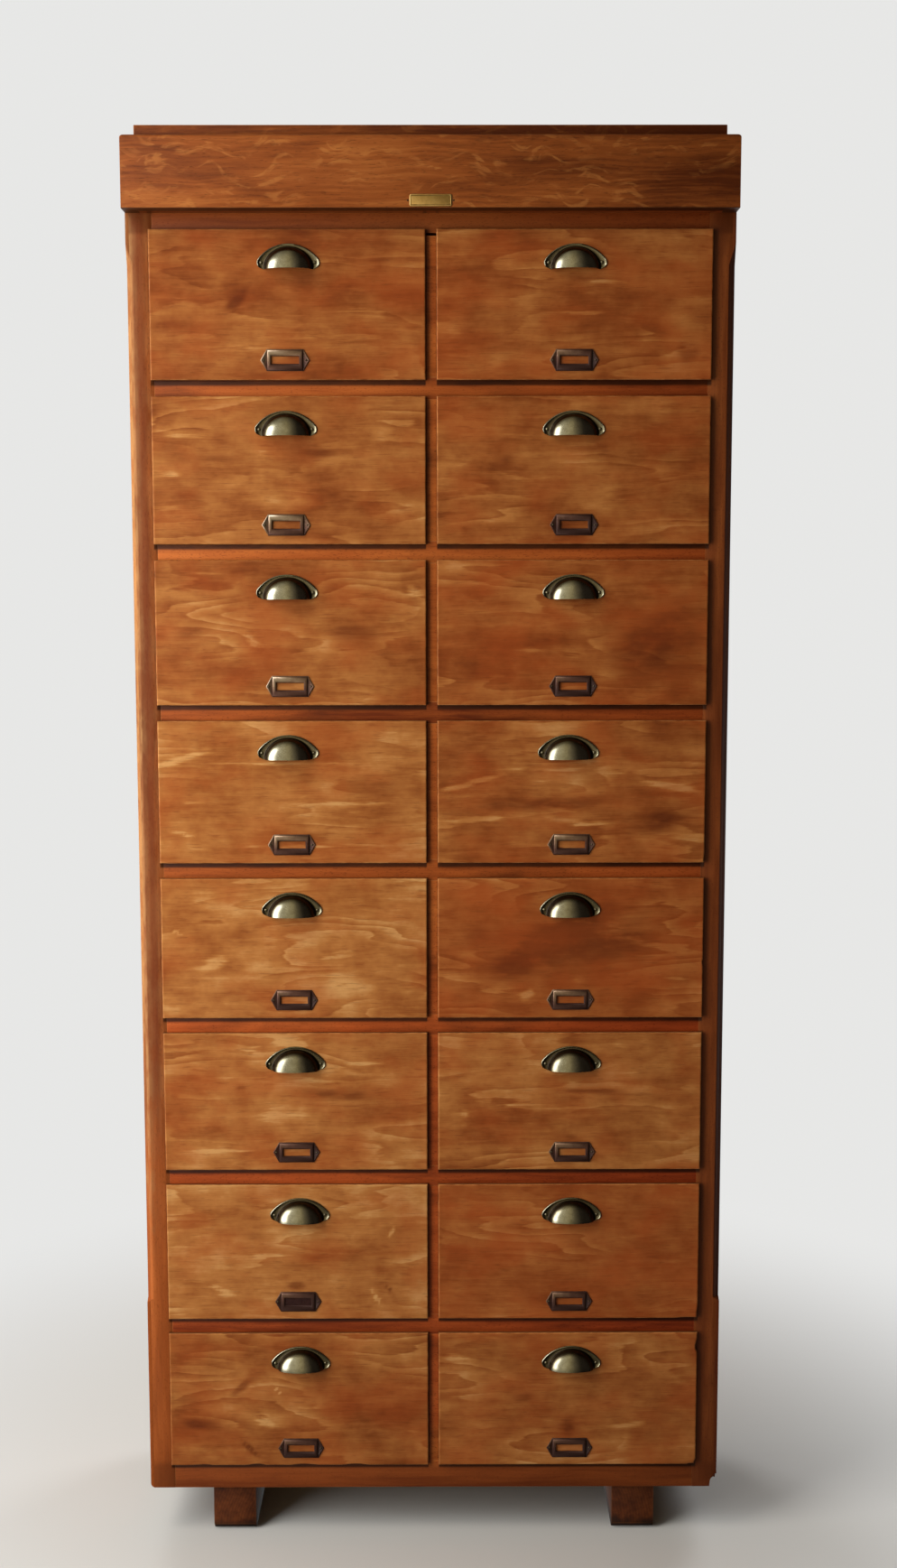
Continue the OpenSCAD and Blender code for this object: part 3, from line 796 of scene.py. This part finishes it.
def ring(bm, recess, middle, points, lift, dark):
    """Points round a fitting at a height above the wood. dark says how dark they are kept in a hollow or
    crease: patina, with painted shade.
    """
    made = []
    for x, z in points:
        v = bm.verts.new(middle + Vector((x, -lift, z)))
        v[recess] = dark
        made.append(v)
    return made


def pull_outline(angle):
    """How far the flange of a pull reaches at an angle up from its mouth."""
    rise = PULL_TOP - PULL_EAR
    arc = (PULL_EAR_X**2 + rise**2 - PULL_EAR**2) / (2 * (rise - PULL_EAR))
    arc_z = PULL_TOP - arc
    touch = Vector((PULL_EAR_X, PULL_EAR - arc_z)).normalized() * arc + Vector((0, arc_z))
    angle = min(angle, math.pi - angle)
    across, up = math.cos(angle), math.sin(angle)
    if angle > math.atan2(touch.y, touch.x):
        half = up * arc_z
        return half + math.sqrt(half * half + arc * arc - arc_z * arc_z)
    half = across * PULL_EAR_X + up * PULL_EAR
    inside = max(0.0, half * half - PULL_EAR_X**2)
    return half + math.sqrt(inside)


def pull_section(angle):
    """From the lip of the cup to the edge of the flange: distance from the middle, height above the
    drawer face and how dark it is kept: patina, with painted shade on the cup's steep shoulder and in
    the crease round its foot."""
    foot = 1 / math.hypot(math.cos(angle) / PULL_HALF, math.sin(angle) / PULL_RISE)
    edge = max(pull_outline(angle), foot + 0.4 * MM)
    points = []
    # From a bend of about 50 degrees the cup's shoulder is kept dark: painted shade, with patina.
    for i in range(17):
        bend = math.pi / 2 * (i / 16) * 0.95
        out = SHEET + (PULL_OUT - SHEET) * math.cos(bend) ** 0.9
        points.append((foot * 0.985 * math.sin(bend) ** 0.95, out, min(1.0, max(0.0, (i - 9.5) / 3))))
    reach = edge - foot
    points += [
        (foot + reach * 0.06, SHEET * 1.15, 1.2),
        (foot + reach * 0.28, SHEET, 0.45),
        (edge - min(1.9 * MM, reach * 0.45), SHEET, 0.25),
        (edge - min(1.2 * MM, reach * 0.3), SHEET * 1.5, 0.1),
        (edge - min(0.5 * MM, reach * 0.15), SHEET * 1.35, 0.0),
        (edge, SHEET * 0.7, 0.4),
        (edge, 0.0, 0.9)
    ]
    return points


def cup_pull(row, side):
    """A pressed cup pull: a shell open below, its flange and two ears."""
    middle = pull_place(row, side)
    face_y = middle.y
    bm, recess, patina = metal_mesh()
    spokes = []
    for i in range(PULL_SPOKES + 1):
        angle = math.pi * i / PULL_SPOKES
        spoke = []
        for reach, out, dark in pull_section(angle):
            place = Vector((middle.x + reach * math.cos(angle), face_y - out,
                            middle.z + reach * math.sin(angle)))
            made = bm.verts.new(place)
            made[recess] = dark
            spoke.append(made)
        spokes.append(spoke)
    skin(bm, spokes, closed=False)
    bmesh.ops.remove_doubles(bm, verts=bm.verts, dist=WELD)
    bmesh.ops.recalc_face_normals(bm, faces=bm.faces)
    tip = min(bm.verts, key=lambda v: v.co.y)
    if tip.link_faces[0].normal.y > 0:
        bmesh.ops.reverse_faces(bm, faces=bm.faces)
    outer = list(bm.faces)
    inner = {}
    for v in list(bm.verts):
        drop = v.normal * (SHEET * 0.95)
        place = v.co - drop
        place.y = min(place.y, face_y)
        place.z = max(place.z, middle.z + (0.0 if v.co.z < middle.z + 1e-6 else -1.0))
        made = bm.verts.new(place)
        # The back of the sheet, inside the cup, is kept dark: painted shade, with patina.
        made[recess] = 0.9
        inner[v] = made
    border = [e for e in bm.edges if e.is_boundary]
    for face in outer:
        bm.faces.new([inner[v] for v in reversed(face.verts)])
    for edge in border:
        a, b = edge.verts
        face = edge.link_faces[0]
        order = list(face.verts)
        if order[(order.index(a) + 1) % len(order)] is b:
            a, b = b, a
        bm.faces.new((a, b, inner[b], inner[a]))
    tint = 0.10 + 0.10 * random.Random(row * 3 + len(side)).random()
    for v in bm.verts:
        v[patina] = tint
    bmesh.ops.remove_doubles(bm, verts=bm.verts, dist=WELD)
    return finished(bm, f"cup_pull_{row}_{side}", METAL, f"drawer_{row}_{side}", BRASS,
                    f"drawer_{row}_{side}_fittings", crease=0.9)


def card_frame(bm, middle, recess):
    """The raised frame round the window. Its top bar stands clear of the sheet, where a card goes in."""
    bar_x = HOLDER_FRAME - HOLDER_WINDOW[0]
    bar_z = HOLDER_HALF[1] - HOLDER_WINDOW[1] - 0.3 * MM
    rings = []
    for share, lift, dark in ((0.02, 0.6, 0.7), (0.0, 1.9, 0.7), (0.10, 2.7, 0.2), (0.26, 3.0, 0.0),
                              (0.62, 2.9, 0.0), (0.84, 2.5, 0.1), (0.96, 1.8, 0.4), (1.0, 0.6, 0.8)):
        x = HOLDER_WINDOW[0] + share * bar_x
        z = HOLDER_WINDOW[1] + share * bar_z
        below = ring(bm, recess, middle, ((-x, -z), (x, -z)), lift * MM, dark)
        above = ring(bm, recess, middle, ((x, z), (-x, z)), max(lift, 1.7) * MM, dark)
        rings.append(below + above)
    skin(bm, rings + rings[:1])


def label_holder(row, side):
    """A pressed label holder: a pointed plate with a turned-up rim and a raised frame."""
    middle = holder_place(row, side)
    half_w, half_h = HOLDER_HALF
    corner = half_w - HOLDER_POINT
    window_w, window_h = HOLDER_WINDOW
    outline = [(-half_w, 0), (-corner, -half_h), (corner, -half_h), (half_w, 0), (corner, half_h),
               (-corner, half_h)]
    inner = [(-window_w, 0), (-window_w, -window_h), (window_w, -window_h), (window_w, 0),
             (window_w, window_h), (-window_w, window_h)]
    bm, recess, patina = metal_mesh()
    rings = []
    for points, scale, lift, dark in (
            (outline, 1.0, 0.0, 0.4), (outline, 1.0, 1.0, 0.0), (outline, 0.975, 1.35, 0.0),
            (outline, 0.945, 1.1, 0.1), (outline, 0.92, 0.7, 0.35), (inner, 1.0, 0.7, 0.35),
            (inner, 1.0, 0.0, 0.6)):
        scaled = [(x * scale, z * scale) for x, z in points]
        rings.append(ring(bm, recess, middle, scaled, lift * MM, dark))
    skin(bm, rings + rings[:1])
    card_frame(bm, middle, recess)
    bmesh.ops.recalc_face_normals(bm, faces=bm.faces)
    tone = HOLDER_PATINA[row - 1][SIDES.index(side)]
    # Painted light: the lower half and the right side darker and the upper left corner paler, as the
    # light falls from the upper left.
    for v in bm.verts:
        x, z = v.co.x - middle.x, v.co.z - middle.z
        upper_left_light = max(0.0, 1 - math.hypot(x + corner, z - half_h) / (0.7 * half_w))
        v[patina] = tone + (0.30 if z < 0 else -0.12) + x / half_w * 0.12 - upper_left_light * 0.24
    return finished(bm, f"label_holder_{row}_{side}", BRONZE, f"drawer_{row}_{side}",
                    BRASS, crease=0.7)


def label_card():
    """The one card that is still in its holder, blank and dark with age."""
    middle = holder_place(7, "left")
    bm = bmesh.new()
    columns, lines = 12, 5
    half_w, half_h = HOLDER_WINDOW[0] + 0.3 * MM, HOLDER_WINDOW[1] + 0.4 * MM
    grid = []
    for k in range(lines + 1):
        line = []
        for i in range(columns + 1):
            x = -half_w + 2 * half_w * i / columns
            z = -half_h + 2 * half_h * k / lines
            bulge = 0.9 * MM + 0.35 * MM * math.cos(x / half_w * math.pi / 2)
            line.append(bm.verts.new(middle + Vector((x, -bulge, z))))
        grid.append(line)
    skin(bm, grid, closed=False)
    bmesh.ops.solidify(bm, geom=bm.faces[:], thickness=0.3 * MM)
    bmesh.ops.recalc_face_normals(bm, faces=bm.faces)
    return finished(bm, "label_card_7_left", CARD, "drawer_7_left", BRASS)


def name_plate(middle):
    """The small brass plate on the cornice, bare, with turned-down edges."""
    bm, recess, patina = metal_mesh()
    rings = []
    for inset, lift, dark in ((0, 0, 0.6), (0, 0.9, 0.0), (0.5, 1.3, 0.0), (1.6, 1.3, 0.0),
                              (2.1, 0.95, 0.8), (2.7, 1.15, 0.2)):
        half_w, half_h = ((half - inset) * MM for half in PLATE_HALF)
        cut = max(0.4, 1.6 - inset * 0.5) * MM
        outline = [(-half_w + cut, -half_h), (half_w - cut, -half_h), (half_w, -half_h + cut),
                   (half_w, half_h - cut)]
        outline += [(-x, -z) for x, z in outline]
        rings.append(ring(bm, recess, middle, outline, lift * MM, dark))
    skin(bm, rings)
    bm.faces.new(rings[-1])
    bm.faces.new(rings[0][::-1])
    bmesh.ops.recalc_face_normals(bm, faces=bm.faces)
    for v in bm.verts:
        v[patina] = 0.15
    return finished(bm, "name_plate", PLATE, CARCASS, BRASS, crease=0.7)


# Fasteners, by Geometry Nodes


def heads_tree(name, slotted, along_path):
    """A tree that sets a fastener's head on points, or along a rectangular path."""
    group = bpy.data.node_groups.new(name, "GeometryNodeTree")
    entries = {"Geometry": ["Geometry"],
               "Float": ["Head radius", "Head height", "Slot width", "Slot depth", "Path width",
                         "Path height", "Spacing"],
               "Vector": ["Facing", "Path middle"], "Material": ["Finish"]}
    for kind, labels in entries.items():
        for label in labels:
            group.interface.new_socket(label, in_out="INPUT", socket_type="NodeSocket" + kind)
    group.interface.new_socket("Geometry", in_out="OUTPUT", socket_type="NodeSocketGeometry")
    t = Tree(group)
    entry = group.nodes.new("NodeGroupInput")

    def given(label):
        return Wire(t, t.find(entry.outputs, label))

    radius, height = given("Head radius"), given("Head height")
    ball = t.node("GeometryNodeMeshUVSphere", {"Segments": 20, "Rings": 10, "Radius": 1.0},
                  "Mesh")
    scale = t.xyz(radius, radius, height)
    head = t.node("GeometryNodeTransform", {"Geometry": ball, "Scale": scale})
    if slotted:
        size = t.xyz(radius * 2.4, given("Slot width"), given("Slot depth") * 2)
        bar = t.node("GeometryNodeMeshCube", {"Size": size}, "Mesh")
        lift = t.xyz(z=height)
        bar = t.node("GeometryNodeTransform", {"Geometry": bar, "Translation": lift})
        head = t.node("GeometryNodeMeshBoolean", {"Mesh 1": head, "Mesh 2": bar}, "Mesh",
                      operation="DIFFERENCE", solver="EXACT")
    if along_path:
        path = t.node("GeometryNodeCurvePrimitiveQuadrilateral",
                      {"Width": given("Path width"), "Height": given("Path height")})
        points = t.node("GeometryNodeCurveToPoints", {"Curve": path, "Length": given("Spacing")},
                        "Points", mode="LENGTH")
        points = t.node("GeometryNodeTransform",
                        {"Geometry": points, "Rotation": given("Facing"),
                         "Translation": given("Path middle")})
    else:
        points = t.node("GeometryNodeMeshToPoints",
                        {"Mesh": given("Geometry"), "Radius": 0.001}, "Points")
    index = t.node("GeometryNodeInputIndex")
    spin = t.node("FunctionNodeRandomValue",
                  {"Min_001": -1.4, "Max_001": 1.4, "ID": index, "Seed": 7}, "Value_001",
                  data_type="FLOAT")
    heads = t.node("GeometryNodeInstanceOnPoints", {"Points": points, "Instance": head})
    for turn in (given("Facing"), t.xyz(z=spin)):
        heads = t.node("GeometryNodeRotateInstances", {"Instances": heads, "Rotation": turn})
    real = t.node("GeometryNodeRealizeInstances", {"Geometry": heads})
    painted = t.node("GeometryNodeSetMaterial", {"Geometry": real, "Material": given("Finish")})
    t.node("NodeGroupOutput", {0: painted})
    return group


SCREW_TREE = heads_tree("slotted screws", slotted=True, along_path=False)
PIN_TREE = heads_tree("round pins", slotted=False, along_path=False)
NAIL_TREE = heads_tree("nails along a path", slotted=False, along_path=True)
FACING_FRONT = (math.pi / 2, 0, 0)
FACING_BACK = (-math.pi / 2, 0, 0)


def fasteners(name, tree, places, body, patina, facing=FACING_FRONT, **sizes):
    """Runs a tree on the given places and keeps the result as one plain mesh."""
    seeds = bmesh.new()
    for place in places:
        seeds.verts.new(place)
    piece = solid(seeds, name)
    modifier = piece.modifiers.new("heads", "NODES")
    modifier.node_group = tree
    labels = {item.name: item.identifier for item in tree.interface.items_tree
              if item.in_out == "INPUT"}
    modifier[labels["Finish"]] = METAL
    modifier[labels["Facing"]] = facing
    for label, value in sizes.items():
        modifier[labels[label.replace("_", " ")]] = value
    graph = bpy.context.evaluated_depsgraph_get()
    mesh = bpy.data.meshes.new_from_object(piece.evaluated_get(graph))
    piece.modifiers.clear()
    piece.data = mesh
    bm = bmesh.new()
    bm.from_mesh(mesh)
    layer = bm.verts.layers.float.new("patina")
    for v in bm.verts:
        v[layer] = patina
    shaded(bm, 0.6)
    bm.to_mesh(mesh)
    bm.free()
    return placed(piece, body, BRASS)


def pair(middle, across, out=0.0, up=0.0):
    """The places of a fitting's two screws or pins."""
    return [middle + Vector((s * across, -out, up)) for s in (-1, 1)]


def drawer_fasteners(row, side):
    body = f"drawer_{row}_{side}"
    ears = pair(pull_place(row, side), PULL_SCREW[0], SHEET, PULL_SCREW[1])
    fasteners(f"pull_screws_{row}_{side}", SCREW_TREE, ears, body, 0.45, Head_radius=2.6 * MM,
              Head_height=1.1 * MM, Slot_width=0.6 * MM, Slot_depth=0.7 * MM)
    ends = pair(holder_place(row, side), HOLDER_PIN_X, 0.7 * MM)
    fasteners(f"holder_pins_{row}_{side}", PIN_TREE, ends, body, 0.6, Head_radius=1.5 * MM,
              Head_height=0.9 * MM)


# The cabinet

# How much paler each rail is than the rest, from the bottom up
RAIL_TONES = (0.0, -0.16, -0.06, -0.02, -0.02, -0.20, 0.20, -0.10, 0.0)
# How far the nails of the back panel are from its edges, and from each other
NAIL_INSET = 15 * MM
NAIL_SPACING = 0.16


def broken_off(bm, chips):
    """Takes ragged chips, given as a middle and half sizes, off a board's mesh."""
    body = solid(bm.copy(), "board")
    knives = []
    for number, (middle, half) in enumerate(chips):
        chip = bmesh.new()
        bmesh.ops.create_icosphere(chip, subdivisions=3, radius=1.0)
        for v in chip.verts:
            rough = 1 + 0.16 * noise.noise(v.co * 2.3 + Vector((number * 5, 0, 0)))
            v.co = Vector(middle) + Vector([c * h * rough for c, h in zip(v.co, half)])
        knife = solid(chip, "chip")
        knives.append(knife)
        cut = body.modifiers.new("chip", "BOOLEAN")
        cut.object = knife
        cut.operation = "DIFFERENCE"
        cut.solver = "EXACT"
    graph = bpy.context.evaluated_depsgraph_get()
    cleared = bpy.data.meshes.new_from_object(body.evaluated_get(graph))
    bm.clear()
    bm.from_mesh(cleared)
    for spare in [body] + knives:
        bpy.data.objects.remove(spare)


def lower_right_chips(bm):
    """The lower right front corner, where the side panel and a bit of the post have gone."""
    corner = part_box("side_panels")
    x, y, z = corner[1].x, corner[0].y, corner[0].z
    broken_off(bm, [((x, y, z + 3 * MM), (11 * MM, 16 * MM, 17 * MM)),
                    ((x - 2 * MM, y + 8 * MM, z), (7 * MM, 20 * MM, 8 * MM))])


softened("corner_posts", POST, "frame_beech", 0.9 * MM, cut=lower_right_chips)
softened("front_rails", RAIL, "frame_beech", 0.6 * MM, tones=RAIL_TONES)
softened("front_dividers", RAIL, "frame_beech", 0.6 * MM)
softened("side_panels", SIDE, "side_ply", 0.5 * MM, cut=lower_right_chips)
softened("cornice", OAK, "cornice_oak", 0.8 * MM)
softened("cap_board", OAK, "cornice_oak", 1.2 * MM, pale=-0.30)
softened("skids", SKID, "skid_wood", 1.5 * MM)

# The top board takes the darker rail finish in place of the pale inner wood: painted shade where it
# shows under the cornice.
for node, material in (("back_panel", BACK), ("centre_partition", INNER), ("drawer_runners", INNER),
                       ("bottom_board", INNER), ("top_board", RAIL)):
    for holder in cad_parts[node].material_slots:
        holder.material = material

for row in range(1, ROWS + 1):
    for column, side in enumerate(SIDES):
        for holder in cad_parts[f"drawer_{row}_{side}_box"].material_slots:
            holder.material = BOX
        ply_face(row, side, 2 * (row - 1) + column)
        cup_pull(row, side)
        label_holder(row, side)
        drawer_fasteners(row, side)

label_card()
plate_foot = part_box("cornice")[0]
plate_middle = Vector((0, plate_foot.y, plate_foot.z + PLATE_RISE))
name_plate(plate_middle)
fasteners("name_plate_pins", PIN_TREE, pair(plate_middle, PLATE_PIN_X), CARCASS, 0.9,
          Head_radius=1.3 * MM, Head_height=1.0 * MM)
back_low, back_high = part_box("back_panel")
fasteners("back_nails", NAIL_TREE, [(0, 0, 0)], CARCASS, 0.8, FACING_BACK, Head_radius=2.2 * MM,
          Head_height=0.6 * MM, Spacing=NAIL_SPACING,
          Path_width=back_high.x - back_low.x - 2 * NAIL_INSET,
          Path_height=back_high.z - back_low.z - 2 * NAIL_INSET,
          Path_middle=(0, back_high.y, (back_low.z + back_high.z) / 2))


# Stage

PALE = (0.80, 0.80, 0.79, 1.0)
# The room from left to right, as it lights the wood and as brass shows it, and its window
ROOM = ((0.0, (0.46, 0.45, 0.42, 1.0)), (0.22, (0.40, 0.38, 0.33, 1.0)),
        (0.42, (0.22, 0.19, 0.13, 1.0)), (0.54, (0.14, 0.11, 0.06, 1.0)),
        (0.68, (0.028, 0.022, 0.016, 1.0)))
MIRRORED_ROOM = ((0.0, (0.30, 0.29, 0.26, 1.0)), (0.35, (0.58, 0.55, 0.43, 1.0)),
                 (0.48, (0.44, 0.39, 0.25, 1.0)), (0.57, (0.14, 0.12, 0.09, 1.0)),
                 (0.69, (0.02, 0.016, 0.014, 1.0)))
WINDOW = (5.3, 5.6, 5.9, 1.0)


def stage_floor():
    """A pale floor that keeps the cabinet's shadow and fades into the background. It throws only a
    little light up at the cabinet, and mirrors show nothing of it in front."""
    f = Finish("pale floor")
    place = f.place()
    away = f.node("ShaderNodeVectorMath", {0: place}, "Value", operation="LENGTH")
    far = f.band(away, 0.45, 1.5)
    plain = f.node("ShaderNodeBsdfDiffuse", {"Color": (0.66, 0.66, 0.66, 1.0)})
    dull = f.node("ShaderNodeBsdfDiffuse", {"Color": (0.26, 0.26, 0.26, 1.0)})
    clear = f.node("ShaderNodeBsdfTransparent")
    glow = f.node("ShaderNodeEmission", {"Color": PALE, "Strength": 1.0})
    mirrored, seen = f.rays(f.band(f.part(place, 1), 0.2, 0.6))
    pale = f.node("ShaderNodeMixShader", {0: far, 1: plain, 2: glow})
    unseen = f.node("ShaderNodeMixShader", {0: mirrored, 1: dull, 2: clear})
    both = f.node("ShaderNodeMixShader", {0: seen, 1: unseen, 2: pale})
    f.node("ShaderNodeOutputMaterial", {"Surface": both})
    bm = bmesh.new()
    bmesh.ops.create_circle(bm, cap_ends=True, radius=30.0, segments=64)
    floor = solid(bm, "floor", f.material)


def room_light():
    """A pale background all round for the camera. Metal and glass show it where it stands behind the
    cabinet; in front of the cabinet they show the room and its window, at the left."""
    world = bpy.data.worlds.new("room")
    bpy.context.scene.world = world
    world.use_nodes = True
    world.node_tree.nodes.clear()
    w = Finish.over(world)
    across, out, up = w.axes(w.node("ShaderNodeTexCoord", output="Generated"))
    mirrored, seen = w.rays(w.band(out, 0.6, 0.85))
    level = across * 0.5 + 0.5
    above_or_below = w.band(up, 0.50, 0.95) * 0.6 + w.band(0 - up, 0.20, 0.55) * 0.75
    mirror_room = w.mixed(w.ramp(level, *MIRRORED_ROOM), (0.0, 0.0, 0.0, 1.0), above_or_below)
    window = (w.band(0 - across, 0.45, 0.60) * w.within(up, -0.35, -0.10, 0.42, 0.62)
              * (1 - w.band(abs(out + 0.58), 0.12, 0.28)))
    mirror_room = w.mixed(mirror_room, WINDOW, window)
    room = w.mixed(w.ramp(level, *ROOM), mirror_room, mirrored)
    dim = w.node("ShaderNodeBackground", {"Color": room, "Strength": 1.0})
    pale = w.node("ShaderNodeBackground", {"Color": PALE, "Strength": 1.0})
    both = w.node("ShaderNodeMixShader", {0: seen, 1: dim, 2: pale})
    w.node("ShaderNodeOutputWorld", {"Surface": both})


def soft_box(name, place, aim, width, height, power, tint=(1.0, 1.0, 1.0)):
    """A lamp that lights the cabinet and isn't mirrored in its metal."""
    lamp = bpy.data.lights.new(name, "AREA")
    lamp.shape = "RECTANGLE"
    lamp.size = width
    lamp.size_y = height
    lamp.energy = power
    lamp.color = tint
    holder = linked(name, lamp)
    holder.visible_glossy = False
    holder.location = place
    holder.rotation_euler = (Vector(aim) - Vector(place)).to_track_quat("-Z", "Y").to_euler()


def camera():
    """A camera at the photograph's place: height, tilt and turn as fitted to the cabinet's edges."""
    focal = 2000.0
    frame_h = 1737.0
    place = Vector((0.01698, -2.80899, 1.47916))
    tilt, turn, roll = 0.1128, -0.00277, 0.00129
    lens = bpy.data.cameras.new("camera")
    lens.sensor_fit = "AUTO"
    lens.sensor_width = 36.0
    lens.lens = focal / frame_h * lens.sensor_width
    eye = linked("camera", lens)
    level = Matrix.Rotation(turn, 4, "Z") @ Matrix.Rotation(math.pi / 2 - tilt, 4, "X")
    eye.matrix_world = Matrix.Translation(place) @ level @ Matrix.Rotation(-roll, 4, "Z")
    bpy.context.scene.camera = eye


stage_floor()
room_light()
soft_box("window", (-1.5, -1.15, 1.26), (0.0, -0.14, 1.06), 1.2, 1.95, 40, (1.0, 1.0, 0.96))
soft_box("ceiling", (-1.5, -1.0, 3.1), (-0.1, -0.1, 1.0), 1.2, 0.9, 20, (1.0, 0.88, 0.74))
soft_box("right_side", (1.4, 1.6, 2.0), (0.4, 0.1, 1.2), 1.0, 1.6, 24)
soft_box("back_side", (-1.2, 2.2, 2.1), (0.0, 0.17, 1.2), 1.2, 1.6, 26)
camera()

bpy.context.scene.view_settings.view_transform = "Standard"
